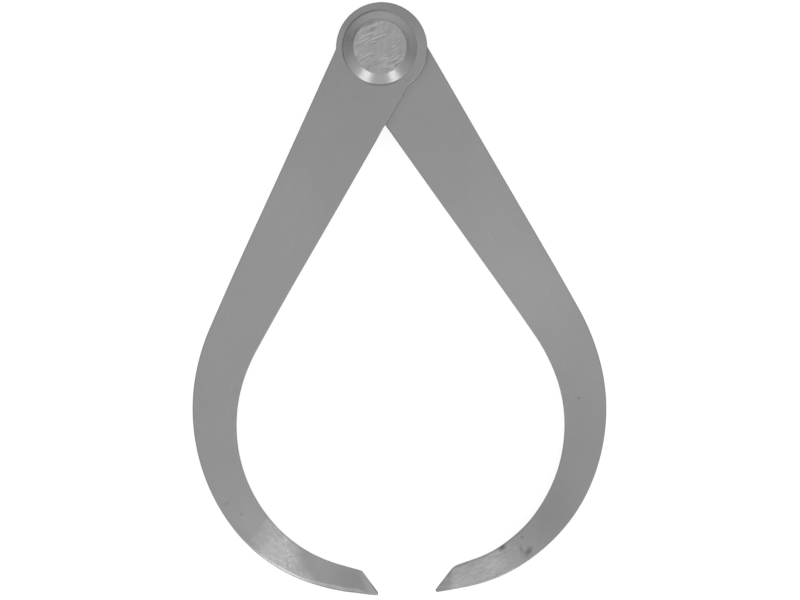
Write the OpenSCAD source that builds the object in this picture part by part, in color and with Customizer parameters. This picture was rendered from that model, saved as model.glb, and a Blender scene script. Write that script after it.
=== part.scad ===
// Outside caliper with a firm riveted joint. Two flat bowed steel legs turn on one rivet.
// A bevelled washer closes the joint on each side, and a thin friction disc lies between the legs.
// The joint axis is Z and the legs point to -Y. Z = 0 is the outer face of the rear washer.

/* [Legs] */
// distance from the joint axis to the corner at each measuring point, before it is rounded
reach = 150.2; // [148:0.1:152]
// angle between the middle line of the front shank and the line to its measuring point
front_point_angle = 26.9; // [26:0.1:28]
// angle between the middle line of the rear shank and the line to its measuring point
rear_point_angle = 27.5; // [26:0.1:28]
// angle between the middle lines of the two shanks as drawn
spread = 60; // [58:0.5:75]
// thickness of the steel of each leg
leg_t = 3; // [2:0.1:4]
// radius of the round head of each leg
head_r = 12.5; // [12:0.1:14]
// half the width of a shank at the level of the joint axis
shank_half = 11.25; // [10.5:0.05:11.8]
// lean of each shank edge towards the middle line of the shank
shank_lean = 2.7; // [2.2:0.1:3.2]
// length of the straight edges of a shank
shank_run = 89.6; // [86:0.2:92]

/* [Bow] */
// radius of the outer edge where the bow leaves the shank
outer_r = 54.1; // [52:0.1:56]
// radius of the outer edge below that
outer_low_r = 47.1; // [45:0.1:49]
// radius of the inner edge where the bow leaves the shank
inner_r = 41.6; // [40:0.1:44]
// radius of the inner edge below that
inner_low_r = 35.5; // [35:0.1:38]
// turn left to the lowest point of the outer edge where its radius changes
outer_turn = 31.6; // [26:0.2:36]
// turn left to the lowest point of the inner edge where its radius changes
inner_turn = 20; // [18:0.2:28]
// rise of the outer edge where it runs out straight to the point
outer_rise = 22.9; // [19:0.1:24]
// rise of the inner edge where it runs out straight
inner_rise = 13.5; // [11:0.1:16]
// length of the straight end of the inner edge of the front leg
front_inner_end = 5.9; // [4.5:0.1:6.5]
// length of the straight end of the inner edge of the rear leg
rear_inner_end = 6.1; // [4.5:0.1:6.5]

/* [Points] */
// length of the bend that brings the front leg's point to the middle plane
front_set_run = 18; // [12:0.5:20]
// length of the bend that brings the rear leg's point to the middle plane
rear_set_run = 22; // [14:0.5:22]
// length of the bevel ground across the end of the front leg
front_bevel_w = 2.3; // [1:0.1:3]
// length of the bevel ground across the end of the rear leg
rear_bevel_w = 4.8; // [2:0.1:5]
// depth of the end bevel on each side of the front leg
front_bevel_drop = 0.5; // [0.2:0.05:1.1]
// depth of the end bevel on each side of the rear leg
rear_bevel_drop = 1; // [0.3:0.05:1.1]
// radius of each measuring point
point_r = 0.4; // [0.2:0.05:0.6]
// radius of the corner above the point of the front leg
front_corner_r = 1; // [0.5:0.1:3]
// radius of the corner above the point of the rear leg
rear_corner_r = 4; // [1:0.1:5]

/* [Joint] */
// radius of a washer where it lies on the leg
washer_r = 10.1; // [9:0.1:11]
// radius of the filed flat on a washer
washer_flat_r = 7.25; // [6.5:0.05:8]
// thickness of a washer
washer_t = 2.8; // [2:0.1:3.5]
// height of the upright rim below the bevel of a washer
washer_rim = 0.3; // [0.2:0.1:0.8]
// how far the rim of the front washer sits to the left of the joint axis
washer_shift = 0.45; // [0:0.05:0.6]
// radius of the rivet
rivet_r = 4; // [3:0.1:4.5]
// radius of the clenched ends of the rivet
rivet_end_r = 5.5; // [5:0.1:6]
// depth of the clenched ends of the rivet
rivet_end_t = 1.5; // [1:0.1:1.8]
// radial play between the rivet and the legs
bore_play = 0.05; // [0.02:0.01:0.1]
// thickness of the friction disc between the legs
disc_t = 0.35; // [0.2:0.05:0.6]
// radius of the friction disc
disc_r = 11.6; // [10:0.1:12]

/* [Hidden] */
$fa = 3;
$fs = 0.4;
cut = 1;
far = 140;
// steps of the smooth bend near a point
set_steps = 12;
// middles of the two bends, from the joint axis in the frame of a leg, and the way each one runs
front_set_at = [35.5, -133];
front_set_dir = -12;
rear_set_at = [54, -135];
rear_set_dir = 10;
// ways the bevels across the ends face, in the frame of a leg
front_bevel_dir = 53;
rear_bevel_dir = 36;
// reach of the grinding of the end bevels
bevel_reach = 10;

rear_leg_z = washer_t;
disc_z = rear_leg_z + leg_t;
front_leg_z = disc_z + disc_t;
front_washer_z = front_leg_z + leg_t;
stack = front_washer_z + washer_t;
swing = spread / 2;
// each point moves sideways by half the pitch of the legs
set_depth = (leg_t + disc_t) / 2;

// a direction measured from straight down towards +X
function down(a) = [sin(a), -cos(a)];

// outer edge: straight, two arcs, straight to the point
outer_top = [-shank_half, 0];
outer_end = outer_top + shank_run * down(shank_lean);
outer_c = outer_end - outer_r * down(shank_lean - 90);
outer_mid = outer_c + outer_r * down(-outer_turn);
outer_low_c = outer_mid - outer_low_r * down(-outer_turn);
outer_last = outer_low_c + outer_low_r * down(outer_rise);
front_point = reach * down(front_point_angle);
rear_point = reach * down(rear_point_angle);

// inner edge: straight, two arcs, straight to the corner above the point
inner_top = [shank_half, 0] - cut * down(-shank_lean);
inner_start = [shank_half, 0] + shank_run * down(-shank_lean);
inner_c = inner_start - inner_r * down(-shank_lean - 90);
inner_mid = inner_c + inner_r * down(-inner_turn);
inner_low_c = inner_mid - inner_low_r * down(-inner_turn);
inner_last = inner_low_c + inner_low_r * down(inner_rise);
front_corner = inner_last + front_inner_end * down(inner_rise + 90);
rear_corner = inner_last + rear_inner_end * down(inner_rise + 90);

function unit(v) = v / norm(v);

// sub-part to show

// part of a disc about c between two directions measured from straight down
module sector(c, r, from, to)
    intersection() {
        translate(c) circle(r);
        polygon([c, c + 2 * r * down(from), c + 2 * r * down((from + to) / 2), c + 2 * r * down(to)]);
    }

// what rounding a corner takes off: a triangle without the disc in it; a and b lie on the sides of the corner
module rounding(at, a, b, r) {
    way_a = unit(a - at);
    way_b = unit(b - at);
    half = acos(way_a * way_b) / 2;
    first = at + r / tan(half) * way_a;
    last = at + r / tan(half) * way_b;
    difference() {
        polygon([first, 2 * at - (first + last) / 2, last]);
        translate(at + r / sin(half) * unit(way_a + way_b)) circle(r);
    }
}

// everything inside the outer edge
module outer_form(point) {
    polygon([outer_top, outer_end, outer_mid, outer_last, point, [far, 0]]);
    sector(outer_c, outer_r, shank_lean - 90, -outer_turn);
    sector(outer_low_c, outer_low_r, -outer_turn, outer_rise);
}

// the work space inside the inner edge, cut off along the end of the leg
module inner_space(point, corner, corner_r) {
    past_point = corner + 3 * (point - corner);
    rounding(corner, inner_last, point, corner_r);
    polygon([
        inner_top, inner_start, inner_mid, inner_last, corner, past_point, [far, past_point.y], [far, cut]
    ]);
    sector(inner_c, inner_r, -shank_lean - 90, -inner_turn);
    sector(inner_low_c, inner_low_r, -inner_turn, inner_rise);
}

module leg_outline(point, corner, corner_r) {
    difference() {
        outer_form(point);
        inner_space(point, corner, corner_r);
        rounding(point, outer_last, corner, point_r);
    }
    circle(head_r);
}

// the thickness of a leg seen from the side, with the smooth bend that lowers the point
module set_band(at, dir, run) {
    steps = [for (i = [0:set_steps]) i / set_steps];
    bend = [for (u = steps) [run * (u - 0.5), -set_depth * (1 - cos(180 * u)) / 2]];
    line = concat([[-far * 2, 0]], bend, [[far, -set_depth]]);
    translate([at.x, at.y, 0]) rotate([90, 0, dir])
        linear_extrude(height = 4 * far, center = true)
            polygon(concat(line, [for (i = [len(line) - 1:-1:0]) line[i] + [0, leg_t]]));
}

// what is ground off the sides of the end: planes that start w before the point, face dir and sink by drop
module end_bevel(point, dir, w, drop) {
    line = point - w * down(dir + 90);
    for (side = [-1, 1])
        translate([line.x, line.y, leg_t / 2 - set_depth])
            scale([1, 1, side])
                translate([0, 0, leg_t / 2])
                    rotate([0, atan2(drop, w), dir])
                        translate([0, -bevel_reach, 0]) cube([bevel_reach, 2 * bevel_reach, leg_t]);
}

// one leg in its own frame: the shank points to -Y, the bow to +X, and Z = 0 faces the other leg;
// the children are what is ground off its end
module leg(point, corner, corner_r, at, dir, run)
    difference() {
        intersection() {
            translate([0, 0, -leg_t]) linear_extrude(height = 3 * leg_t) leg_outline(point, corner, corner_r);
            set_band(at, dir, run);
        }
        translate([0, 0, -cut]) cylinder(r = rivet_r + bore_play, h = leg_t + 2 * cut);
        children();
    }

module front_leg()
    color("#9c9c9a")
        translate([0, 0, front_leg_z]) rotate([0, 0, -swing])
            leg(front_point, front_corner, front_corner_r, front_set_at, front_set_dir, front_set_run)
                end_bevel(front_point, front_bevel_dir, front_bevel_w, front_bevel_drop);

module rear_leg()
    color("#969694")
        translate([0, 0, disc_z]) rotate([0, 180, 0]) rotate([0, 0, -swing])
            leg(rear_point, rear_corner, rear_corner_r, rear_set_at, rear_set_dir, rear_set_run)
                end_bevel(rear_point, rear_bevel_dir, rear_bevel_w, rear_bevel_drop);

// half section of a washer that lies on Z = 0
module washer_section()
    polygon([[0, 0], [washer_r, 0], [washer_r, washer_rim], [washer_flat_r, washer_t], [0, washer_t]]);

// half section of the rivet where it fills a washer
module seat_section()
    polygon([
        [0, -cut], [rivet_r, -cut], [rivet_r, washer_t - rivet_end_t], [rivet_end_r, washer_t],
        [rivet_end_r, washer_t + cut], [0, washer_t + cut]
    ]);

// a washer with its hole on the joint axis and its rim moved to the left
module washer(shift)
    difference() {
        translate([-shift, 0, 0]) rotate_extrude() washer_section();
        rotate_extrude() seat_section();
    }

module front_washer()
    color("#a3a3a0") translate([0, 0, front_washer_z]) washer(washer_shift);

module rear_washer()
    color("#a3a3a0") translate([0, 0, washer_t]) rotate([180, 0, 0]) washer(0);

module friction_disc()
    color("#5b3a2a")
        translate([0, 0, disc_z])
            difference() {
                cylinder(r = disc_r, h = disc_t);
                translate([0, 0, -cut]) cylinder(r = rivet_r + 2 * bore_play, h = disc_t + 2 * cut);
            }

// the rivet fills the washers and is filed flush with them
module rivet()
    color("#b0b0ac")
        rotate_extrude()
            polygon([
                [0, 0], [rivet_end_r, 0], [rivet_r, rivet_end_t],
                [rivet_r, stack - rivet_end_t], [rivet_end_r, stack], [0, stack]
            ]);

rear_leg();
front_leg();
rear_washer();
front_washer();
friction_disc();
rivet();
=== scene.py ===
"""Looks of the outside caliper: two ground steel legs, two bevelled washers, a rivet and a friction disc.

Every piece is a surface worked out with numpy on a grid of two parameters, in millimetres, kept in metres.
"""
import math

import bmesh
import bpy
import numpy as np
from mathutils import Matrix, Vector


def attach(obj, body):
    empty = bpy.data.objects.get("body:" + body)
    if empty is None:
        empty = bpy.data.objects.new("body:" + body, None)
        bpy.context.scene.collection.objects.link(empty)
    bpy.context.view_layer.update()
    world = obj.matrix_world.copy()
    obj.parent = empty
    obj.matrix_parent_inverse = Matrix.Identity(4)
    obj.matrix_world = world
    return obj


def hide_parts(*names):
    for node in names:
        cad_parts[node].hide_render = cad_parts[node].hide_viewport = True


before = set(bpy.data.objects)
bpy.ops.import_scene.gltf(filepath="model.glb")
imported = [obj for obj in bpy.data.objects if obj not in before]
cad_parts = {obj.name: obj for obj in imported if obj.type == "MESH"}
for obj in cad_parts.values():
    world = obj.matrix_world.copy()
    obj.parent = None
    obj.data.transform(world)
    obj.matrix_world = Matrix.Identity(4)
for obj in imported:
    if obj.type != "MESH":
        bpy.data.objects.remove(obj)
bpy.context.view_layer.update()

# Sizes of the caliper in millimetres and degrees, the same as in the solids.
REACH, SWING, POINT_R = 150.2, 30.0, 0.4
LEG_T, HEAD_R, BORE_R = 3.0, 12.5, 4.05
SHANK_HALF, SHANK_LEAN, SHANK_RUN = 11.25, 2.7, 89.6
OUTER_R, OUTER_LOW_R, OUTER_TURN, OUTER_RISE = 54.1, 47.1, 31.6, 22.9
INNER_R, INNER_LOW_R, INNER_TURN, INNER_RISE = 41.6, 35.5, 20.0, 13.5
WASHER_R, WASHER_FLAT_R, WASHER_T, WASHER_RIM = 10.1, 7.25, 2.8, 0.3
WASHER_SHIFT = -0.45
RIVET_R, RIVET_END_R, RIVET_END_T = 4.0, 5.5, 1.5
DISC_T, DISC_R = 0.35, 11.6
DISC_Z = WASHER_T + LEG_T
FRONT_LEG_Z = DISC_Z + DISC_T
FRONT_WASHER_Z = FRONT_LEG_Z + LEG_T
STACK = FRONT_WASHER_Z + WASHER_T
SET_DEPTH = (LEG_T + DISC_T) / 2
MM = 0.001

# The flow of a leg: straight down the shank to the hip, then round the middle of the bow.
HIP = 90.0
BOW_C = np.array([47.0, -HIP])
BOW_R = 47.0

# Fine forms in millimetres: easing of the outline's corners; the soft edge and what it loses where it is
# keener; the creases at the end bevel on the two faces, what they lift, and how far from the point the
# bevel may reach; the disc's edge; the depth of the file's cuts.
CORNER_EASE = 0.2
SOFT_EDGE, KEENER = 0.28, 0.17
OUTER_CREASE, INNER_CREASE, CREASE_LIFT = 0.12, 0.04, 0.01
BEVEL_REACH = 12.0
DISC_EDGE = 0.06
FILE_DEPTH = 0.015

# Grids, in millimetres: step along the outline; gap between rows, closer past FINE_FROM; how far short of
# the point the middle line stops; rows round the point and the head; where the middle line leaves the
# bore and where it is back on its own way; rows round a turned piece; places along a row on the face and
# round the edge.
OUTLINE_STEP = 0.05
ROW_GAP, FINE_GAP, FINE_FROM, MIDDLE_SHORT = 0.8, 0.35, 150, 3.2
POINT_ROWS, HEAD_ROWS = 46, 76
FOOT, MERGE = 14.0, 34.0
AROUND, DISC_AROUND = 480, 180
FACE_SHARES = np.concatenate([np.linspace(0, 0.9, 13), [0.97]])
EDGE_SHARES = np.linspace(0, 1, 7)

# How a mesh is finished: gap between doubles and length of slivers in metres, and the angle of a sharp edge.
DOUBLE_GAP, SLIVER, SHARP_FROM = 2e-7, 1e-8, 32

# Greys of the steel and browns of the fibre, as written in the materials.
# The last two greys, for the pale edges and the washer's upright rim, are painted light.
STEEL, WASHER_STEEL, WASHER_RIM_LIGHT, EDGE_LIGHT = 0.30, 0.335, 0.8, 0.9
FIBRE_DARK, FIBRE_LIGHT = (0.10, 0.045, 0.028, 1.0), (0.19, 0.09, 0.055, 1.0)


def down(deg):
    """Direction measured from straight down towards +X."""
    a = np.radians(deg)
    return np.stack([np.sin(a), -np.cos(a)], -1)


def heading(deg):
    """Direction measured from +X towards +Y."""
    a = np.radians(deg)
    return np.array([np.cos(a), np.sin(a)])


def stretch(a, b, n):
    """n points on the straight line from a to b, the last one left out."""
    return a + (b - a) * (np.arange(n) / n)[:, None]


def sweep(c, r, a, b, n):
    """n points on the arc about c of radius r, between two directions measured from straight down."""
    return c + r * down(a + (b - a) * np.arange(n) / n)


def straight(a, b):
    """Outline points on the straight line from a to b, the last one left out."""
    return stretch(a, b, max(2, round(np.linalg.norm(b - a) / OUTLINE_STEP)))


def arc(c, r, a, b):
    """Outline points on the arc about c of radius r, between two directions measured from straight down."""
    return sweep(c, r, a, b, max(2, round(r * math.radians(abs(b - a)) / OUTLINE_STEP)))


def rounding(at, a, b, r):
    """Outline points on the arc of radius r that eases a corner between sides to a and b, and its ends."""
    way_a, way_b = (a - at) / np.linalg.norm(a - at), (b - at) / np.linalg.norm(b - at)
    half = np.arccos(way_a @ way_b) / 2
    centre = at + r / np.sin(half) * (way_a + way_b) / np.linalg.norm(way_a + way_b)
    first, last = at + r / np.tan(half) * way_a, at + r / np.tan(half) * way_b
    spoke, round_by = first - centre, np.pi - 2 * half
    n = 2 * round(r * round_by / OUTLINE_STEP / 2)
    angle = round_by * np.arange(n)[:, None] / n
    eased = centre + np.cos(angle) * spoke + np.sin(angle) * np.array([-spoke[1], spoke[0]])
    return eased, first, last


def flow(p):
    """Distance along a leg and offset from its middle line: down the shank, then polar about the bow."""
    d = p - BOW_C
    bow = p[..., 1] < -HIP
    along = np.where(bow, HIP + BOW_R * np.arctan2(-d[..., 1], -d[..., 0]), -p[..., 1])
    across = np.where(bow, BOW_R - np.hypot(d[..., 0], d[..., 1]), p[..., 0])
    return along, across


def leg_outline(leg):
    """Closed outline of a leg, anticlockwise, in equal steps, its corners eased by a bell-shaped average.

    Each edge is a straight, two arcs and a straight, tangent to one another. The head is an arc about the
    joint, and arcs round the point and the corner above it. The outer edge ends halfway round the point."""
    outer_dir, inner_dir = down(SHANK_LEAN), down(-SHANK_LEAN)
    top = np.array([-SHANK_HALF, 0.0])
    along = top @ outer_dir
    shoulder = top + outer_dir * (math.sqrt(along**2 - top @ top + HEAD_R**2) - along)
    outer_end = top + SHANK_RUN * outer_dir
    outer_c = outer_end - OUTER_R * down(SHANK_LEAN - 90)
    outer_mid = outer_c + OUTER_R * down(-OUTER_TURN)
    outer_low_c = outer_mid - OUTER_LOW_R * down(-OUTER_TURN)
    outer_last = outer_low_c + OUTER_LOW_R * down(OUTER_RISE)
    inner_start = top * [-1, 1] + SHANK_RUN * inner_dir
    inner_c = inner_start - INNER_R * down(-SHANK_LEAN - 90)
    inner_mid = inner_c + INNER_R * down(-INNER_TURN)
    inner_low_c = inner_mid - INNER_LOW_R * down(-INNER_TURN)
    inner_last = inner_low_c + INNER_LOW_R * down(INNER_RISE)
    point = REACH * down(leg["point_angle"])
    corner = inner_last + leg["inner_end"] * down(INNER_RISE + 90)
    tip_arc, tip_first, tip_last = rounding(point, outer_last, corner, POINT_R)
    corner_arc, corner_first, corner_last = rounding(corner, point, inner_last, leg["corner_r"])
    half = len(tip_arc) // 2
    outer_edge = np.concatenate([
        straight(shoulder, outer_end),
        arc(outer_c, OUTER_R, SHANK_LEAN - 90, -OUTER_TURN),
        arc(outer_low_c, OUTER_LOW_R, -OUTER_TURN, OUTER_RISE),
        straight(outer_last, tip_first),
        tip_arc[:half],
    ])
    inner_edge = np.concatenate([
        tip_arc[half:],
        straight(tip_last, corner_first),
        corner_arc,
        straight(corner_last, inner_last),
        arc(inner_low_c, INNER_LOW_R, INNER_RISE, -INNER_TURN),
        arc(inner_c, INNER_R, -INNER_TURN, -SHANK_LEAN - 90),
        straight(inner_start, shoulder * [-1, 1]),
    ])
    shoulder_dir = math.degrees(math.atan2(-shoulder[0], -shoulder[1]))
    head = arc(np.zeros(2), HEAD_R, shoulder_dir, 360 - shoulder_dir)
    line = np.concatenate([outer_edge, inner_edge, head])
    wide = round(6 * CORNER_EASE / OUTLINE_STEP)
    reach = np.arange(-wide, wide + 1)
    bell = np.exp(-0.5 * (reach * OUTLINE_STEP / CORNER_EASE) ** 2)
    bell /= bell.sum()
    soft = sum(w * np.roll(line, -k, axis=0) for k, w in zip(reach, bell))
    return soft, len(outer_edge), len(outer_edge) + len(inner_edge), point


def leg_rows(leg):
    """Rows of a leg's grid: outline points, the way inwards at each, and the inner point each row runs to.

    Rows down the two edges share their inner points on the middle line, rows about the head end on the bore,
    and rows about the point all end on the last point of the middle line."""
    line, tip, far_shoulder, point = leg_outline(leg)
    n = len(line)
    tangent = np.roll(line, -1, 0) - np.roll(line, 1, 0)
    tangent /= np.linalg.norm(tangent, axis=1)[:, None]
    u_outer, u_inner = flow(line[:tip])[0], flow(line[tip:far_shoulder])[0][::-1]
    start, last = u_outer[0] + OUTLINE_STEP, flow(point)[0] - MIDDLE_SHORT
    wider, closer = np.arange(start, FINE_FROM, ROW_GAP), np.arange(FINE_FROM, last, FINE_GAP)
    stations = np.concatenate([wider, closer, [last]])
    outer = np.interp(stations, np.maximum.accumulate(u_outer), np.arange(tip))
    inner = far_shoulder - 1 - np.interp(stations, np.maximum.accumulate(u_inner), np.arange(len(u_inner)))
    nose = np.linspace(outer[-1], inner[-1], POINT_ROWS)[1:-1]
    head = np.linspace(inner[0], n + outer[0], HEAD_ROWS)[1:-1]
    s = np.concatenate([outer, nose, inner[::-1], head]) % n
    k = np.floor(s).astype(int)
    f = (s - k)[:, None]
    rim = line[k] * (1 - f) + line[(k + 1) % n] * f
    way = tangent[k] * (1 - f) + tangent[(k + 1) % n] * f
    inwards = np.stack([-way[:, 1], way[:, 0]], -1)
    inwards /= np.linalg.norm(inwards, axis=1)[:, None]

    # the middle line: first round the bore from the shoulders to its foot, then down the leg
    outer_rim, inner_rim = rim[: len(outer)], rim[len(outer) + len(nose) :][: len(inner)][::-1]
    mid_across = (flow(outer_rim)[1] + flow(inner_rim)[1]) / 2
    lag = np.where(stations < MERGE, BORE_R + (stations - FOOT) * (MERGE - BORE_R) / (MERGE - FOOT), stations)
    round_bow = (lag - HIP) / BOW_R
    bow = BOW_C - (BOW_R - mid_across)[:, None] * np.stack([np.cos(round_bow), np.sin(round_bow)], -1)
    middle = np.where((stations < HIP)[:, None], np.stack([mid_across * (lag > MERGE - 1), -lag], -1), bow)
    first = math.degrees(math.atan2(rim[0, 1], rim[0, 0])) % 360
    on_bore = stations < FOOT
    share = np.clip((stations - start) / (FOOT - start), 0, 1)
    left = np.radians(first + (270 - first) * share)
    right = np.radians(-90 + (270 - first) * (1 - share))
    to_outer = np.where(on_bore[:, None], BORE_R * np.stack([np.cos(left), np.sin(left)], -1), middle)
    to_inner = np.where(on_bore[:, None], BORE_R * np.stack([np.cos(right), np.sin(right)], -1), middle)
    round_head = np.linspace(right[0], left[0], len(head) + 2)[1:-1]
    to_bore = BORE_R * np.stack([np.cos(round_head), np.sin(round_head)], -1)
    goal = np.concatenate([to_outer, np.repeat(middle[-1:], len(nose), 0), to_inner[::-1], to_bore])
    at_bore = np.concatenate([on_bore, np.zeros(len(nose), bool), on_bore[::-1], np.ones(len(head), bool)])
    return rim, inwards, goal, at_bore, s < tip, point


def bells(along, rows):
    """Sum of bell-shaped gains down the leg; each row gives a bell's middle, reach and gain."""
    return sum(gain * np.exp(-(((along - middle) / reach) ** 2)) for middle, reach, gain in rows)


def sway(p, leg):
    """Points moved sideways by up to 0.35 mm towards the inner edge, as the making of each leg left it."""
    along, across = flow(p)
    to_middle = BOW_C - p
    side = np.where(p[:, 1:] < -HIP, to_middle / np.hypot(*to_middle.T)[:, None], np.array([1.0, 0.0]))
    inner = np.clip((across + 4) / 8, 0, 1)
    move = bells(along, leg["sways"]) + inner * bells(along, leg["inner_sways"])
    return p + side * move[:, None]


def soft_low(a, b, r):
    """The lower of two heights, with the crease between them rounded over about r."""
    return (a + b - np.sqrt((a - b) ** 2 + r * r)) / 2


def leg_heights(p, leg, point):
    """Heights of the outer and inner faces of a leg at points p, and how far each lies past the bevel's line.

    Both faces drop by half a cosine wave over the bend, and a plane bevels each one towards the point."""
    u = np.clip((p - leg["bend_at"]) @ heading(leg["bend_dir"]) / leg["bend_run"] + 0.5, 0, 1)
    drop = -SET_DEPTH * (1 - np.cos(np.pi * u)) / 2
    past = (p - point) @ heading(leg["bevel_dir"]) + leg["bevel_w"]
    past = np.where(np.hypot(*(p - point).T) < BEVEL_REACH, past, -BEVEL_REACH)
    ground = leg["bevel_drop"] * past / leg["bevel_w"]
    outer = soft_low(LEG_T + drop, LEG_T - SET_DEPTH - ground, OUTER_CREASE) + CREASE_LIFT
    inner = -soft_low(-drop, SET_DEPTH - ground, INNER_CREASE) - CREASE_LIFT
    return np.minimum(outer, LEG_T + drop), np.maximum(inner, drop), past


def mesh_piece(name, verts, quads, body, node, attributes=None, uv=None):
    """Makes a finished piece of points in millimetres and quads: doubles merged, shaded smooth, riding."""
    me = bpy.data.meshes.new(name)
    me.from_pydata((verts * MM).tolist(), [], quads.tolist())
    for key, values in (attributes or {}).items():
        me.attributes.new(key, "FLOAT", "POINT").data.foreach_set("value", values.astype(np.float32))
    if uv is not None:
        corners = np.empty(len(me.loops), np.int32)
        me.loops.foreach_get("vertex_index", corners)
        me.uv_layers.new(name="flow").data.foreach_set("uv", (uv[corners] * MM).astype(np.float32).ravel())
    me.shade_smooth()
    piece = bpy.data.objects.new(name, me)
    bpy.context.collection.objects.link(piece)
    bm = bmesh.new()
    bm.from_mesh(me)
    bmesh.ops.remove_doubles(bm, verts=bm.verts, dist=DOUBLE_GAP)
    bmesh.ops.dissolve_degenerate(bm, edges=bm.edges, dist=SLIVER)
    bmesh.ops.recalc_face_normals(bm, faces=bm.faces)
    bm.to_mesh(me)
    bm.free()
    me.set_sharp_from_angle(angle=math.radians(SHARP_FROM))
    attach(piece, body)
    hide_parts(node)


def grid_quads(rows, cols):
    """Quads of a grid of rows by cols points, the rows closed into a loop."""
    i = np.arange(rows)[:, None]
    j = np.arange(cols - 1)[None, :]
    k = (i + 1) % rows
    return np.stack([i * cols + j, k * cols + j, k * cols + j + 1, i * cols + j + 1], -1).reshape(-1, 4)


# The flat filed over the front leg's outer edge, by the distance down the leg: where it starts and how long
# it takes to be full, how far from the end it stops, its width and steepness, its painted highlight, and the
# painted shade on its rim.
FILED_FROM, FILED_RUN, END_LEFT = 141, 9, 0.4
FILED_WIDTH = ([146, 152, 158, 163, 168, 174], [0.2, 0.6, 0.55, 0.55, 0.9, 1.1])
FILED_STEEPNESS = ([150, 156, 163, 168], [0.38, 0.45, 0.5, 0.55])
FILED_HIGHLIGHT = ([145, 151, 155, 162, 168, 175, 181], [0.0, 0.0, 0.06, 0.08, 0.12, 0.12, 0.05])
FILED_RIM_SHADE = ([154, 159, 163, 168, 174], [0.0, -0.36, -0.36, -0.16, -0.1])

# Where the edge is keener, in millimetres: towards the point, and by the joint, where it crosses the other
# leg, up to its top. There it is painted paler, painted light that lifts the shade where it crosses the other
# leg, by the share of the way round the edge.
KEEN_REACH, CROSSING_REACH, CROSSING_TOP = 9, 25, 4
CROSSING_LIGHT = ([0.0, 0.17, 0.35, 0.65], [0.0, 0.1, 0.2, 0.85])


def leg_edge(leg, rim, on_outer, at_bore, end):
    """The edge at each row: soft width, filed share, filed width and depth, and its tone by share and side.

    The soft edge is keener near the point and where it crosses the other leg at the joint. The filed flat
    wanders a little and runs out towards the end of the leg. Tone is painted light and shade: above 0 where
    the edge is painted paler and below 0 where it is painted darker. The filed flat carries a painted
    highlight with painted shade on its rim, the edge is painted paler where it crosses the other leg, and
    the inner edge is painted paler, but darker at the end."""
    along = flow(rim)[0]
    to_end = end - along
    near_joint = np.clip((CROSSING_REACH - np.hypot(*rim.T)) / 5, 0, 1)
    below_head = np.clip((CROSSING_TOP - rim[:, 1]) / 5, 0, 1)
    crossing = near_joint * below_head * (rim[:, 0] > 0) * leg["crossing"]
    near_point = np.clip((along - end + KEEN_REACH) / 6, 0, 1)
    soft = SOFT_EDGE - KEENER * np.maximum(near_point, crossing)
    filed = leg["filed"] * np.clip((along - FILED_FROM) / FILED_RUN, 0, 1) * on_outer * (1 - at_bore)
    filed *= np.clip((to_end - END_LEFT) / 0.8, 0, 1)
    wander = 1 + 0.08 * np.sin(along / 1.9) + 0.07 * np.sin(along / 0.83 + 1)
    run_out = np.clip((to_end - END_LEFT) / 6, 0, 1) ** 0.7
    wide = soft + np.interp(along, *FILED_WIDTH) * filed * wander * run_out
    deep = soft * (1 - filed) + np.interp(along, *FILED_STEEPNESS) * wide * filed
    # Painted highlight on the filed flat and painted shade on its rim.
    highlight_gain = np.interp(along, *FILED_HIGHLIGHT) * filed
    rim_shade_gain = np.interp(along, *FILED_RIM_SHADE) * filed
    # Painted light down the inner edge, and on the front leg painted shade at the end.
    paler = np.interp(along, *leg["inner_edge_light"]) * (1 - on_outer) * (1 - at_bore)

    def tone(share, side):
        filed_light = (rim_shade_gain if share > 0.8 else highlight_gain) * (side > 0)
        return crossing * np.interp(share, *CROSSING_LIGHT) + (filed_light + paler * (side == leg["seen_side"]))

    return soft, filed, wide, deep, tone


def make_leg(leg):
    """A leg: each row runs from the middle line over the outer face, round the edge and back under the inner.

    The edge is a quarter of an ellipse, and nearly a flat chamfer where the outer edge is filed over."""
    rim, inwards, goal, at_bore, on_outer, point = leg_rows(leg)
    rim, goal = sway(rim, leg), sway(goal, leg)
    soft, filed, wide, deep, tone = leg_edge(leg, rim, on_outer, at_bore, flow(point)[0])
    cols, edge, bevel = [], [], []
    for side, w, d, flatness in ((1, wide, deep, filed), (-1, soft, soft, 0 * soft)):
        face_rim = rim + inwards * w[:, None]
        points = [goal + (face_rim - goal) * t for t in FACE_SHARES]
        sink = [0 * w] * len(FACE_SHARES)
        for t in EDGE_SHARES:
            q = np.pi / 2 * (1 - t)
            inset = w * (flatness * (1 - t) + (1 - flatness) * (1 - np.cos(q)))
            points.append(rim + inwards * inset[:, None])
            sink.append(d * (flatness * t + (1 - flatness) * (1 - np.sin(q))))
        heights = [leg_heights(p, leg, point) for p in points]
        level = [h[0] - k if side > 0 else h[1] + k for h, k in zip(heights, sink)]
        layers = [np.column_stack([p, z]) for p, z in zip(points, level)]
        edge_light_shade = [0 * w] * len(FACE_SHARES) + [tone(t, side) for t in EDGE_SHARES]
        past = [np.clip((h[2] + 0.5) / 1.5, 0, 1) for h in heights]
        cols += layers[::side]
        edge += edge_light_shade[::side]
        bevel += past[::side]
    grid = np.stack(cols, 1)
    rows, n = grid.shape[:2]
    i = np.nonzero(at_bore & np.roll(at_bore, -1))[0]
    k = (i + 1) % rows
    bore = np.stack([i * n + n - 1, k * n + n - 1, k * n, i * n], -1)
    verts = grid.reshape(-1, 3)
    xy = verts[:, :2]
    areas = sum(gain * np.exp(-((xy - c) ** 2).sum(1) / r**2) for c, r, gain in leg["tones"])
    attributes = {"tone": areas, "edge": np.stack(edge, 1).ravel(), "bevel": np.stack(bevel, 1).ravel()}
    quads = np.concatenate([grid_quads(rows, n), bore])
    mesh_piece(leg["node"] + "_ground", leg["place"](verts), quads, leg["body"], leg["node"],
               attributes, np.column_stack(flow(xy)))


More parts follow.
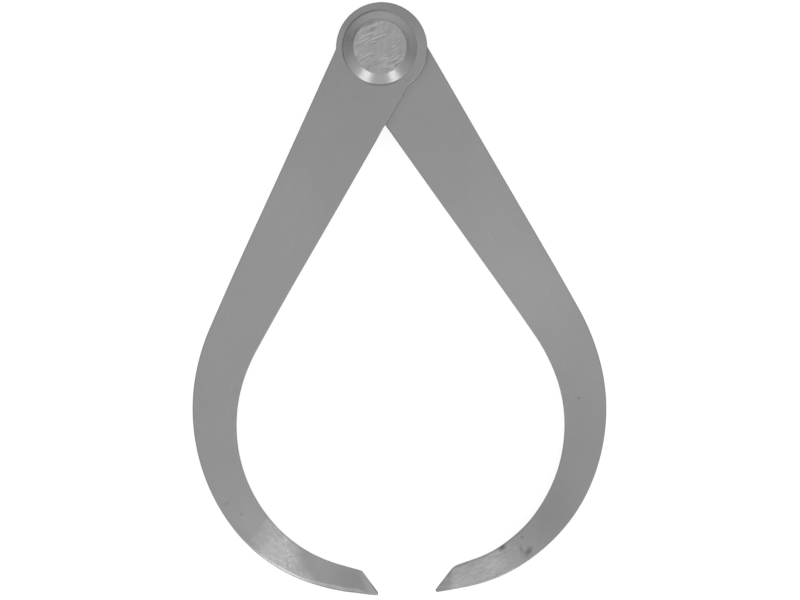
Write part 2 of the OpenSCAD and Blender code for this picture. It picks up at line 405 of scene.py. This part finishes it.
def turn(deg):
    """Rotation by deg about Z."""
    a = np.radians(deg)
    return np.array([[np.cos(a), -np.sin(a), 0], [np.sin(a), np.cos(a), 0], [0, 0, 1]])


def place_front(v):
    """From the leg's own frame to the front leg's place."""
    return v @ turn(-SWING).T + [0, 0, FRONT_LEG_Z]


def place_rear(v):
    """From the leg's own frame to the rear leg's place: swung, then turned over about Y."""
    return (v @ turn(-SWING).T) * [-1, 1, -1] + [0, 0, DISC_Z]


# What sets the two legs apart, in a leg's own frame, in millimetres and degrees. In turn: where the leg
# goes; the bend near the point; the end and its bevel; whether the outer edge is filed over, and crosses
# the other leg in sight; the face that the photograph shows, 1 for the outer; the painted light and shade
# of the inner edge down the leg; sideways departures of both edges and of the inner edge alone (middle,
# reach, gain towards the inner edge); paler and darker areas (middle, radius, gain), some of them painted
# shade. Then the finish: the turn of the leg in its place; how strong the painted shade is in the crease
# round the washer; the painted light on the bevel, above 0 paler and below 0 darker; the patch worked near
# the point, from start to end along the leg, with soft borders that lean, and fleck for the strength of
# its sparks, its paleness and flecks partly painted light; and rust marks and pits (middle, half length,
# half width, slant, depth of tone).
FRONT_LEG = {
    "node": "front_leg", "body": "front", "place": place_front,
    "bend_at": np.array([35.5, -133.0]), "bend_dir": -12, "bend_run": 18,
    "point_angle": 26.9, "inner_end": 5.9, "corner_r": 1.0,
    "bevel_dir": 53, "bevel_w": 2.3, "bevel_drop": 0.5,
    "filed": 1.0, "crossing": 1.0, "seen_side": 1,
    "inner_edge_light": ([100, 120, 135, 178, 181.6, 182.6], [0, 0.04, 0.06, 0.06, 0, -0.4]),
    "sways": [
        (68, 16, -0.12), (95, 9, 0.12), (116, 16, 0.08), (142, 14, 0.09), (156, 10, -0.22), (181, 6, -0.11),
    ],
    "inner_sways": [(152, 17, 0.26), (168, 6, 0.1), (156, 10, 0.22)],
    # The darker area at (0, 13) is painted shade on the top of the head's ring.
    "tones": [
        ((0, -12), 26, -0.05), ((0, 13), 11, -0.13), ((60, -133), 7, -0.14), ((8, -118), 16, -0.02),
        ((20, -127), 9, 0.05), ((50, -135), 5, 0.03), ((-2, -54), 14, 0.025), ((27, -131.5), 4.5, 0.11),
        ((35.3, -131), 2.4, -0.1), ((46, -138), 1.5, -0.09), ((42.2, -132.4), 1.5, 0.1),
        ((40.6, -138.8), 1.4, 0.06), ((9, 7), 4, 0.055), ((-10.6, 2.5), 2.8, -0.1),
    ],
    "tilt": -SWING, "crease_shade": 0.5, "bevel_light": 0.24,
    "patch": {
        "start": 148.5, "end": 163.0, "soft_start": 2.6, "soft_end": 2.8, "lean_start": 0.25, "lean_end": 1.6,
        "paler": 0.48, "fleck": 1.15, "blotches": (420.0, 900.0, 1.0), "sparks": (900.0, 2600.0, 1.0),
    },
    "marks": [((19.1, -130.4), 0.9, 0.5, 60, 0.16), ((24.0, -131.0), 0.7, 0.35, 60, 0.2)],
}
REAR_LEG = {
    "node": "rear_leg", "body": "rear", "place": place_rear,
    "bend_at": np.array([54.0, -135.0]), "bend_dir": 10, "bend_run": 22,
    "point_angle": 27.5, "inner_end": 6.1, "corner_r": 4.0,
    "bevel_dir": 36, "bevel_w": 4.8, "bevel_drop": 1.0,
    "filed": 0.0, "crossing": 0.0, "seen_side": -1,
    "inner_edge_light": ([95, 115, 130, 145, 156, 166], [0, 0.045, 0.045, 0.08, 0.045, 0]),
    "sways": [(40, 20, 0.085), (70, 20, 0.085), (97, 13, 0.32), (137, 12, -0.09), (167, 9, -0.22)],
    "inner_sways": [(152, 6, -0.1)],
    "tones": [
        ((0, -22), 20, -0.03), ((20, -126), 22, -0.12), ((4, -108), 16, -0.02), ((31, -133), 10, -0.13),
        ((0, -78), 14, 0.07), ((0, -53), 12, 0.04), ((57, -131), 3.5, -0.14), ((60.5, -134.2), 3, 0.12),
        ((50, -135.3), 3.5, 0.04), ((63, -132.5), 2.5, -0.08), ((47, -134), 3, -0.06),
        ((59.9, -136.8), 1.6, -0.06), ((59.9, -132), 1.8, -0.06), ((45.8, -133.6), 1.8, -0.06),
        ((52.5, -135.8), 2.2, 0.04),
    ],
    "tilt": 180 + SWING, "crease_shade": 0.0, "bevel_light": -0.11,
    "patch": {
        "start": 162.5, "end": 240.0, "soft_start": 3.5, "soft_end": 1.0, "lean_start": 0.1, "lean_end": 0.1,
        "paler": 0.23, "fleck": 0.7, "blotches": (240.0, 900.0, 1.0), "sparks": (600.0, 3200.0, 1.0),
    },
    "marks": [
        ((41.3, -138.0), 1.75, 0.9, 20, 0.46), ((42.6, -136.4), 1.6, 0.5, 70, 0.22),
        ((46.6, -132.9), 1.5, 0.8, 20, 0.6), ((40.6, -133.7), 0.45, 0.45, 0, 0.4),
        ((6.7, -110.1), 0.4, 0.4, 0, 0.35), ((36.6, -136.8), 1.4, 0.3, 30, 0.07),
    ],
}

# The filing of the flats, in millimetres and degrees: its slant, deep cuts (middle, length, slant), and
# clusters of short cuts (middle, half length, half width, number of cuts).
FILE_WAY = 22.0
FILE_CUTS = [
    ((-0.4, 2.7), 4.0, 23), ((-4.7, -2.6), 4.1, 24), ((-5.4, 1.6), 3.5, 19), ((-4.2, 3.1), 3.6, 24),
    ((0.6, 6.4), 0.9, 30), ((1.1, -3.3), 1.4, 16), ((3.4, -3.7), 1.9, 22), ((3.2, -5.1), 3.2, 25),
    ((3.4, -0.2), 1.4, 24), ((-2.0, 1.4), 1.2, 15),
]
FILE_CLUSTERS = [
    ((-4.2, 3.2), 2.2, 1.7, 26), ((-4.7, -2.4), 1.6, 1.1, 14), ((4.6, -1.2), 1.1, 0.8, 8),
    ((4.8, -3.4), 1.1, 0.9, 9), ((2.3, -5.9), 2.6, 0.8, 16), ((2.6, 3.6), 1.6, 1.6, 8),
    ((0.2, -3.2), 1.4, 1.0, 7),
]


def streaks(p, way, long, fine, seed):
    """Noise between -1 and 1 drawn out along a direction: a random grid, long by fine, read smoothly."""
    rows, cols = 96, 256
    r = np.random.default_rng(seed).uniform(-1, 1, (rows, cols))
    u = (p @ heading(way)) / long + 40
    v = (p @ heading(way + 90)) / fine + cols / 2
    i, j = np.floor(u).astype(int), np.floor(v).astype(int)
    fu, fv = u - i, v - j
    fu, fv = fu * fu * (3 - 2 * fu), fv * fv * (3 - 2 * fv)
    i, j = i % (rows - 1), j % (cols - 1)
    near = r[i, j] * (1 - fu) + r[i + 1, j] * fu
    far = r[i, j + 1] * (1 - fu) + r[i + 1, j + 1] * fu
    return near * (1 - fv) + far * fv


def file_marks(p):
    """File marks at points p of a flat, from -1, a dark furrow, to 1.3, a bright cut.

    Fine streaks at one slant show in clusters, and each cut is a narrow bright bell about its line, with a
    dark furrow beside it. The marks sink the flat, deepest in the furrows, and in the finish they paint the
    cuts bright, a painted highlight, and the furrows dark, a painted shade."""
    cluster = np.clip(streaks(p, FILE_WAY, 4.5, 3.5, 4) * 1.6 + 0.1, 0, 1)
    fine = 0.7 * streaks(p, FILE_WAY + 3, 1.7, 0.30, 1) + 0.6 * streaks(p, FILE_WAY - 4, 2.6, 0.22, 2)
    marks = fine * (0.25 + 0.75 * cluster) + 0.15 * streaks(p, FILE_WAY + 60, 3.0, 0.5, 3)
    rng = np.random.default_rng(11)
    cuts = [(*cut, 1.3, 0.12) for cut in FILE_CUTS]
    for middle, long, wide, count in FILE_CLUSTERS:
        for x, y in rng.uniform(-1, 1, (count, 2)):
            length, off_way, strength = rng.uniform(0.5, 1.5), rng.uniform(-1, 7), rng.uniform(0.4, 1.1)
            spot = (middle[0] + long * x, middle[1] + wide * y)
            cuts.append((spot, length, FILE_WAY + off_way, strength, 0.09))
    for middle, length, slant, strength, narrow in cuts:
        d = p - np.array(middle)
        along, across = d @ heading(slant), d @ heading(slant + 90)
        end = np.clip((length / 2 - np.abs(along)) / 0.3 + 0.5, 0, 1)
        furrow = np.exp(-(((across + 2.2 * narrow) / narrow) ** 2))
        marks += strength * end * (np.exp(-((across / narrow) ** 2)) - 0.6 * furrow)
    return np.clip(marks, -1, 1.3)


def lathe(name, profile, node, flats=(), shift=None, around=AROUND):
    """A turned piece: a closed profile of (radius, height) carried round the joint axis.

    Points on the flats are sunk by the file marks; each flat is (height, radius, side). A washer's shift
    moves its outer part sideways, and the rim of its flat wanders a little with the angle, as filing leaves
    it."""
    a = np.arange(around) * 2 * np.pi / around
    r, z = profile.T
    out = np.broadcast_to(r, (around, len(r))).copy()
    if shift is not None:
        near_flat = np.exp(-(((r - WASHER_FLAT_R) / 0.15) ** 2))
        wander = 0.05 + 0.03 * np.sin(3 * a + 1) + 0.02 * np.sin(8 * a) + 0.02 * np.sin(13 * a + 2)
        out -= near_flat * wander[:, None]
    v = np.stack([out * np.cos(a)[:, None], out * np.sin(a)[:, None], np.broadcast_to(z, out.shape)], -1)
    if shift is not None:
        v[..., 0] += shift * np.clip((r - RIVET_END_R) / (WASHER_FLAT_R - RIVET_END_R), 0, 1)
    marks = np.zeros(out.shape)
    for height, reach, side in flats:
        on = (np.abs(v[..., 2] - height) < 1e-6) & (r <= reach + 1e-6)
        marks += np.where(on, file_marks(v[..., :2] * [side, 1]), 0)
        v[..., 2] -= np.where(on, side * FILE_DEPTH * (1.3 - marks), 0)
    attributes = {"file_marks": marks.ravel()}
    mesh_piece(name, v.reshape(-1, 3), grid_quads(around, len(r)), "rear", node, attributes)


def path(start, *legs):
    """Profile points from a start; each leg is (end, number of steps)."""
    line = [np.array(start, float)[None]]
    for end, n in legs:
        line.append(stretch(line[-1][-1], np.array(end, float), n)[1:])
        line.append(np.array(end, float)[None])
    return np.concatenate(line)


def washer_profile():
    """Half section of a washer on height 0: rim, bevel with rounded arrises, flat, rivet seat, bore."""
    rim_top = np.array([WASHER_R, WASHER_RIM])
    flat_rim = np.array([WASHER_FLAT_R, WASHER_T])
    bevel = (flat_rim - rim_top) / np.linalg.norm(flat_rim - rim_top)
    return path(
        (RIVET_R, 0),
        ((WASHER_R - 0.04, 0), 6),
        ((WASHER_R, 0.04), 1),
        (rim_top - [0, 0.03], 2),
        (rim_top + 0.03 * bevel, 1),
        (rim_top + 0.12 * bevel, 1),
        (flat_rim - 0.08 * bevel, 10),
        (flat_rim - [0.07, 0], 1),
        ((RIVET_END_R, WASHER_T), 16),
        ((RIVET_R, WASHER_T - RIVET_END_T), 3),
        ((RIVET_R, 0), 3),
    )


def make_joint():
    """The two washers, the rivet and the friction disc, all turned about the joint axis."""
    front = washer_profile() + [0, FRONT_WASHER_Z]
    rear = (washer_profile() * [1, -1] + [0, WASHER_T])[::-1]
    filed_r = WASHER_FLAT_R - 0.06
    lathe("front_washer_turned", front, "front_washer", [(STACK, filed_r, 1)], WASHER_SHIFT)
    lathe("rear_washer_turned", rear, "rear_washer", [(0, filed_r, -1)], 0.0)
    rivet = path(
        (0, 0),
        ((RIVET_END_R, 0), 48),
        ((RIVET_R, RIVET_END_T), 3),
        ((RIVET_R, STACK - RIVET_END_T), 4),
        ((RIVET_END_R, STACK), 3),
        ((0, STACK), 48),
    )
    lathe("rivet_filed", rivet, "rivet", [(STACK, RIVET_END_R, 1), (0, RIVET_END_R, -1)])
    disc_top = DISC_Z + DISC_T
    disc = path(
        (BORE_R, DISC_Z),
        ((DISC_R - DISC_EDGE, DISC_Z), 6),
        ((DISC_R, DISC_Z + DISC_EDGE), 1),
        ((DISC_R, disc_top - DISC_EDGE), 1),
        ((DISC_R - DISC_EDGE, disc_top), 1),
        ((BORE_R, disc_top), 6),
        ((BORE_R, DISC_Z), 1),
    )
    lathe("friction_disc_fibre", disc, "friction_disc", around=DISC_AROUND)


class Recipe:
    """A node material in the making."""

    def __init__(self, name):
        self.material = bpy.data.materials.new(name)
        self.material.use_nodes = True
        self.tree = self.material.node_tree
        self.shader = self.tree.nodes["Principled BSDF"]
        self.object = self.add("ShaderNodeTexCoord").outputs["Object"]

    def put(self, socket, value):
        """Links a value that comes from a node to a socket, or sets one that is the same all over."""
        if isinstance(value, bpy.types.NodeSocket):
            self.tree.links.new(value, socket)
        else:
            socket.default_value = value

    def add(self, kind, **settings):
        """A node of that kind. Settings are inputs by name or as i and number, or the node's properties."""
        node = self.tree.nodes.new(kind)
        for key, value in settings.items():
            if hasattr(node, key):
                setattr(node, key, value)
            else:
                self.put(node.inputs[int(key[1:]) if key[1:].isdigit() else key], value)
        return node

    def give(self, **sockets):
        """Sets or links the shader's sockets, with _ for a space in their names."""
        for key, value in sockets.items():
            self.put(self.shader.inputs[key.replace("_", " ")], value)

    def own(self, name):
        """A value that the mesh carries."""
        return self.add("ShaderNodeAttribute", attribute_name=name).outputs["Fac"]

    def noise(self, where, scale, detail=3.0, rough=0.5, stretch=None):
        """Noise between 0 and 1 at a scale per metre, drawn out by stretch on each axis."""
        if stretch:
            where = self.add("ShaderNodeMapping", Vector=where, Scale=stretch).outputs[0]
        node = self.add("ShaderNodeTexNoise", Vector=where, Scale=scale, Detail=detail, Roughness=rough)
        return node.outputs["Fac"]

    def span(self, value, low, high, to_low, to_high):
        """A value carried evenly from one range to another and kept inside it."""
        return self.add("ShaderNodeMapRange", i0=value, i1=low, i2=high, i3=to_low, i4=to_high).outputs[0]

    def shade(self, noise, by):
        """Noise turned into a gain about 1."""
        return self.span(noise, 0.3, 0.7, 1 - by, 1 + by)

    def math(self, operation, a, b=0.0):
        """A value worked out from one or two others."""
        return self.add("ShaderNodeMath", operation=operation, i0=a, i1=b).outputs[0]

    def plus(self, a, b):
        """Two values added."""
        return self.math("ADD", a, b)

    def times(self, a, b):
        """Two values multiplied."""
        return self.math("MULTIPLY", a, b)

    def vector(self, operation, a, b=(0.0, 0.0, 0.0), out=0):
        """A vector worked out from one or two others, or its Value."""
        return self.add("ShaderNodeVectorMath", operation=operation, i0=a, i1=b).outputs[out]

    def grey(self, value):
        """A neutral colour from a value."""
        return self.add("ShaderNodeCombineColor", Red=value, Green=value, Blue=value).outputs[0]

    def bump(self, height, strength, distance, **under):
        """Fine relief from a height, laid over another if one is under it."""
        node = self.add("ShaderNodeBump", Height=height, Strength=strength, Distance=distance, **under)
        return node.outputs[0]


def worked_patch(m, lines, patch):
    """The patch worked near a leg's point: how far a place is inside it, its gain and its pitting's height.

    It is paler, blotched and flecked, and its two borders are ragged lines that lean across the leg. Its
    paleness and pale flecks are partly painted light, the light on the bend's slope and glints of its
    scratches, and partly its worked finish."""
    apart = m.add("ShaderNodeSeparateXYZ", Vector=lines).outputs
    ragged = m.span(m.noise(m.object, 500.0, 3.0, 0.6), 0.25, 0.75, -1.3 * MM, 1.3 * MM)
    along = m.plus(apart["X"], ragged)
    start = m.plus(along, m.times(apart["Y"], patch["lean_start"]))
    end = m.plus(along, m.times(apart["Y"], patch["lean_end"]))
    first, soft_first = patch["start"] * MM, patch["soft_start"] * MM
    last, soft_last = patch["end"] * MM, patch["soft_end"] * MM
    inside = m.times(m.span(start, first - soft_first, first + soft_first, 0.0, 1.0),
                     m.span(end, last - soft_last, last + soft_last, 1.0, 0.0))
    blotches = m.noise(lines, 1.0, 2.5, 0.6, patch["blotches"])
    sparks = m.noise(lines, 1.0, 2.0, 0.6, patch["sparks"])
    struck = m.span(m.noise(m.object, 230.0, 2.0, 0.5), 0.40, 0.58, 0.1 * patch["fleck"], patch["fleck"])
    # Paleness and flecks: partly painted light on the bend's slope and painted glints, partly the worked
    # finish.
    flecks = m.plus(m.span(sparks, 0.57, 0.70, 0.0, 0.6), m.span(sparks, 0.42, 0.32, 0.0, -0.3))
    paler = m.span(blotches, 0.36, 0.64, patch["paler"] - 0.12, patch["paler"] + 0.10)
    gain = m.times(inside, m.plus(paler, m.times(flecks, struck)))
    return inside, gain, m.times(m.plus(blotches, m.times(sparks, 0.8)), inside)


def rust_marks(m, level, leg):
    """A level darkened by rust marks and pits: soft ellipses with ragged rims on the face that is seen."""
    face = LEG_T if leg["seen_side"] > 0 else 0.0
    wobble = m.noise(m.object, 900.0, 3.0, 0.6)
    for spot, half_length, half_width, slant, depth in leg["marks"]:
        at = leg["place"](np.array([[*spot, face]]))[0] * MM
        off = m.vector("SUBTRACT", m.object, tuple(at))
        off = m.add("ShaderNodeVectorRotate", Vector=off, Angle=-math.radians(slant + leg["tilt"])).outputs[0]
        off = m.vector("MULTIPLY", off, (1 / half_length / MM, 1 / half_width / MM, 0.7 / MM))
        away = m.times(m.vector("LENGTH", off, out="Value"), m.span(wobble, 0.3, 0.7, 0.7, 1.5))
        level = m.times(level, m.span(away, 0.2, 1.3, 1 - depth, 1.0))
    return level


def washer_crease_shade(m, crease_shade):
    """Gain of the painted shade in the crease round the washer, heaviest up and to the left, and low down."""
    from_washer = m.vector("SUBTRACT", m.object, (WASHER_SHIFT * MM, 0.0, 0.0))
    flat = m.vector("MULTIPLY", from_washer, (1.0, 1.0, 0.0))
    radius = m.vector("LENGTH", flat, out="Value")
    side = m.vector("DOT_PRODUCT", flat, (-80.0, 58.0, 0.0), "Value")
    below = m.vector("DOT_PRODUCT", flat, (0.0, -99.0, 0.0), "Value")
    shaded_side = m.math("MAXIMUM", m.span(side, 0.35, 0.75, 0.0, 1.0), m.span(below, 0.90, 0.97, 0.0, 0.7))
    crease = m.times(m.span(radius, (WASHER_R + 0.15) * MM, (WASHER_R + 0.5) * MM, 1.0, 0.0), shaded_side)
    return m.math("SUBTRACT", 1.0, m.times(crease, crease_shade))


def leg_steel(leg):
    """Ground steel, brushed along the leg: cloudy tone, fine lines that follow it, a worked patch and marks.

    The bevel at the end is painted paler on the front leg and darker on the rear, as painted light, and the
    crease round the washer is painted with shade. The edge takes the mesh's tone, painted light and shade:
    paler and smoother where it crosses the other leg, on the filed flat and on the inner edge, darker at the
    filed flat's rim and at the end."""
    m = Recipe("leg_steel_" + leg["body"])
    lines = m.add("ShaderNodeUVMap", uv_map="flow").outputs[0]
    brushed = m.noise(lines, 1.0, 3.0, 0.6, (55.0, 3600.0, 1.0))
    coarse = m.noise(lines, 1.0, 2.0, 0.5, (140.0, 1100.0, 1.0))
    level = m.plus(m.shade(m.noise(m.object, 42.0, 4.0, 0.55), 0.03), m.own("tone"))
    level = m.times(level, m.shade(m.noise(m.object, 420.0, 3.0, 0.6), 0.015))
    level = m.times(level, m.shade(brushed, 0.025))
    level = m.times(level, m.span(coarse, 0.62, 0.75, 1.0, 1.06))
    inside, gain, pitted = worked_patch(m, lines, leg["patch"])
    level = rust_marks(m, m.times(level, m.plus(gain, 1.0)), leg)
    # Painted shade in the crease round the washer.
    level = m.times(level, washer_crease_shade(m, leg["crease_shade"]))
    # Painted light on the end's bevel: paler on the front leg, darker on the rear.
    level = m.times(level, m.plus(m.times(m.own("bevel"), leg["bevel_light"]), 1.0))
    edge = m.own("edge")
    # The edge's painted light and shade: below 0 it darkens the steel, above 0 it mixes it towards the pale
    # grey.
    level = m.times(level, m.span(edge, -1.0, 0.0, 0.0, 1.0))
    bright = m.add("ShaderNodeMix", data_type="FLOAT", i0=edge, i2=m.times(level, STEEL), i3=EDGE_LIGHT)
    smoother = m.plus(m.times(inside, 0.04), m.span(edge, 0.0, 0.2, 0.0, -0.12))
    m.give(Base_Color=m.grey(bright.outputs[0]), Metallic=1.0,
           Specular_Tint=m.grey(m.span(edge, 0.0, 0.5, 0.58, 1.0)),
           Roughness=m.plus(m.span(brushed, 0.25, 0.75, 0.36, 0.44), smoother),
           Normal=m.bump(pitted, 0.6, 0.00012, Normal=m.bump(brushed, 0.12, 0.00004)))
    return m.material


def filing(m):
    """A filed flat: finer streaks between its marks, and its tone from both, the marks painting highlights on
    the cuts and shade in the furrows.
    """
    turned = m.add("ShaderNodeMapping", Vector=m.object, Rotation=(0, 0, -math.radians(FILE_WAY))).outputs[0]
    fine = m.noise(turned, 1.0, 4.0, 0.65, (600.0, 5200.0, 1.0))
    # The file marks paint the cuts bright and the furrows dark: painted highlight and painted shade over
    # their real grooves.
    return fine, m.times(m.shade(fine, 0.03), m.plus(m.times(m.own("file_marks"), 0.38), 1.0))


def joint_steel(name):
    """Cloudy steel of the washers and the rivet: its recipe, its tone and its roughness."""
    m = Recipe(name)
    cloud = m.noise(m.object, 260.0, 3.0, 0.6)
    return m, m.shade(cloud, 0.04), m.span(cloud, 0.3, 0.7, 0.25, 0.30)


def washer_steel():
    """Turned steel: rings about the joint axis on the bevel, file marks on the flat, an upright rim painted
    bright as painted light.
    """
    m, level, roughness = joint_steel("washer_steel")
    height = m.add("ShaderNodeSeparateXYZ", Vector=m.object).outputs["Z"]
    radius = m.vector("LENGTH", m.vector("MULTIPLY", m.object, (1.0, 1.0, 0.0)), out="Value")
    rings = m.noise(m.add("ShaderNodeCombineXYZ", X=radius, Y=height).outputs[0], 5200.0, 3.0, 0.6)
    level = m.times(m.times(level, m.shade(rings, 0.025)), filing(m)[1])
    # The upright rim is painted bright, painted light that lifts the shade in the crease at its foot.
    from_middle = m.math("ABSOLUTE", m.math("SUBTRACT", height, STACK / 2 * MM))
    seat = STACK / 2 - WASHER_T
    rim = m.span(from_middle, (seat + WASHER_RIM) * MM, (seat + 1.3 * WASHER_RIM) * MM, WASHER_RIM_LIGHT, 0.0)
    m.give(Base_Color=m.grey(m.math("MAXIMUM", m.times(level, WASHER_STEEL), rim)), Metallic=1.0,
           Roughness=roughness, Normal=m.bump(rings, 0.12, 0.00003))
    return m.material


def rivet_steel():
    """The rivet's ends, filed with the washers."""
    m, level, roughness = joint_steel("rivet_steel")
    fine, filed = filing(m)
    m.give(Base_Color=m.grey(m.times(m.times(level, filed), WASHER_STEEL)), Metallic=1.0,
           Roughness=roughness, Normal=m.bump(fine, 0.1, 0.00003))
    return m.material


def hard_fibre():
    """Red-brown vulcanised fibre with a faint grain."""
    m = Recipe("fibre")
    grain = m.noise(m.object, 1.0, 4.0, 0.6, (900.0, 2600.0, 2600.0))
    brown = m.add("ShaderNodeMix", data_type="RGBA", i0=grain, i6=FIBRE_DARK, i7=FIBRE_LIGHT).outputs[2]
    roughness = m.span(grain, 0.3, 0.7, 0.55, 0.7)
    m.give(Base_Color=brown, Roughness=roughness, Normal=m.bump(grain, 0.3, 0.00003))
    return m.material


def give_finishes():
    """One finish for each piece, and one for the two washers."""
    turned = washer_steel()
    finishes = {
        "front_leg_ground": leg_steel(FRONT_LEG), "rear_leg_ground": leg_steel(REAR_LEG),
        "front_washer_turned": turned, "rear_washer_turned": turned,
        "rivet_filed": rivet_steel(), "friction_disc_fibre": hard_fibre(),
    }
    for name, finish in finishes.items():
        bpy.data.objects[name].data.materials.append(finish)


# The photograph's camera: square on to the front leg's face, half a metre off, and turned a little.
CAMERA_OFF, PX_PER_MM, ROLL = 520.0, 3.656, 2.92
PIVOT_PX, IMAGE_PX = (381.65, 47.6), (800.0, 600.0)


def make_camera():
    """Camera above the point of the front leg's face that lies at the middle of the image."""
    right, up = (IMAGE_PX[0] / 2 - PIVOT_PX[0]) / PX_PER_MM, -(IMAGE_PX[1] / 2 - PIVOT_PX[1]) / PX_PER_MM
    a = math.radians(ROLL)
    x, y = right * math.cos(a) + up * math.sin(a), up * math.cos(a) - right * math.sin(a)
    cam = bpy.data.cameras.new("camera")
    cam.sensor_width = 36.0
    cam.lens = CAMERA_OFF * PX_PER_MM * cam.sensor_width / IMAGE_PX[0]
    cam.clip_start, cam.clip_end = 0.01, 20.0
    o = bpy.data.objects.new("camera", cam)
    o.location = (x * MM, y * MM, (FRONT_WASHER_Z + CAMERA_OFF) * MM)
    o.rotation_euler = (0, 0, -a)
    bpy.context.collection.objects.link(o)
    bpy.context.scene.camera = o


def wire(tree, kind, *values, **settings):
    """Outputs of a new node of the studio: properties by name, inputs in order, set, linked or passed by."""
    node = tree.nodes.new(kind)
    for key, value in settings.items():
        setattr(node, key, value)
    for socket, value in zip(node.inputs, values):
        if isinstance(value, bpy.types.NodeSocket):
            tree.links.new(value, socket)
        elif value is not None:
            socket.default_value = value
    return node.outputs


# The studio: middle of the caliper and half the floor in metres, greys of the floor to the light and to
# the eye, brightness overhead and at the sides, and lobes added low down (bearing, narrowness, gain).
CALIPER_MIDDLE, FLOOR_HALF = (0.0, -0.07, 0.0), 12.0
PAPER, PAPER_SEEN, PAPER_GLOW = (0.8, 0.8, 0.8, 1), (0.3, 0.3, 0.3, 1), (0.82, 0.82, 0.82, 1)
ZENITH, SIDE_LIGHT = 0.88, 0.5
LOBES = [(270, 1.1, 0.6), (72, 3.0, 0.22), (142, 14.0, -0.26), (222, 8.0, 0.28)]

# Lamps: name, bearing, height in degrees, distance and size in metres, power in watts.
LAMPS = [
    ("overhead", 270, 87, 0.8, 0.4, 0.12),
    ("key", -50, 58, 0.8, 0.3, 0.25),
    ("low_left", 233, 18, 0.6, 0.22, 0.3),
    ("low_right", 298, 18, 0.6, 0.18, 0.24),
]


def make_floor():
    """A white floor under the rear washer that shows white to the camera and keeps a faint shadow."""
    corners = np.array([(-1, -1, 0), (1, -1, 0), (1, 1, 0), (-1, 1, 0)]) * FLOOR_HALF
    me = bpy.data.meshes.new("floor")
    me.from_pydata((corners + CALIPER_MIDDLE - [0, 0, 0.1 * MM]).tolist(), [], [(0, 1, 2, 3)])
    floor = bpy.data.objects.new("floor", me)
    bpy.context.collection.objects.link(floor)
    mat = bpy.data.materials.new("floor")
    mat.use_nodes = True
    t = mat.node_tree
    t.nodes.clear()
    ray = wire(t, "ShaderNodeLightPath")
    shown = wire(t, "ShaderNodeMath", ray["Is Camera Ray"], ray["Is Glossy Ray"], operation="MAXIMUM")[0]
    shown = wire(t, "ShaderNodeMath", shown, ray["Is Transmission Ray"], operation="MAXIMUM")[0]
    paper, seen = wire(t, "ShaderNodeBsdfDiffuse", PAPER)[0], wire(t, "ShaderNodeBsdfDiffuse", PAPER_SEEN)[0]
    glowing = wire(t, "ShaderNodeAddShader", seen, wire(t, "ShaderNodeEmission", PAPER_GLOW)[0])[0]
    wire(t, "ShaderNodeOutputMaterial", wire(t, "ShaderNodeMixShader", shown, paper, glowing)[0])
    me.materials.append(mat)


def make_world():
    """A plain studio: pale overhead, greyer at the sides, paler low down above and below the picture."""
    world = bpy.data.worlds.new("studio")
    bpy.context.scene.world = world
    world.use_nodes = True
    t = world.node_tree
    way = wire(t, "ShaderNodeTexCoord")["Generated"]
    horizon = SIDE_LIGHT
    for bearing, narrow, gain in LOBES:
        lobe_way = (*heading(bearing), 0.0)
        facing = wire(t, "ShaderNodeVectorMath", way, lobe_way, operation="DOT_PRODUCT")["Value"]
        ahead = wire(t, "ShaderNodeMath", facing, 0.0, operation="MAXIMUM")[0]
        lobe = wire(t, "ShaderNodeMath", ahead, narrow, operation="POWER")[0]
        horizon = wire(t, "ShaderNodeMath", lobe, gain, horizon, operation="MULTIPLY_ADD")[0]
    height = wire(t, "ShaderNodeMapRange", wire(t, "ShaderNodeSeparateXYZ", way)["Z"], 0.3, 0.8, 0.0, 1.0)[0]
    light = wire(t, "ShaderNodeMix", height, None, horizon, ZENITH, data_type="FLOAT")[0]
    t.links.new(light, t.nodes["Background"].inputs["Color"])


def lamp(name, bearing, height_deg, away, size, power):
    """A square soft lamp, placed by bearing and height about the middle of the caliper and facing it."""
    b, h = math.radians(bearing), math.radians(height_deg)
    way = np.array([math.cos(b) * math.cos(h), math.sin(b) * math.cos(h), math.sin(h)])
    data = bpy.data.lights.new(name, "AREA")
    data.shape, data.size, data.energy = "SQUARE", size, power
    o = bpy.data.objects.new(name, data)
    o.location = CALIPER_MIDDLE + way * away
    o.rotation_euler = Vector(way).to_track_quat("Z", "Y").to_euler()
    bpy.context.collection.objects.link(o)


make_leg(FRONT_LEG)
make_leg(REAR_LEG)
make_joint()
give_finishes()
make_floor()
make_world()
for setting in LAMPS:
    lamp(*setting)
make_camera()
bpy.context.scene.view_settings.view_transform = "Standard"
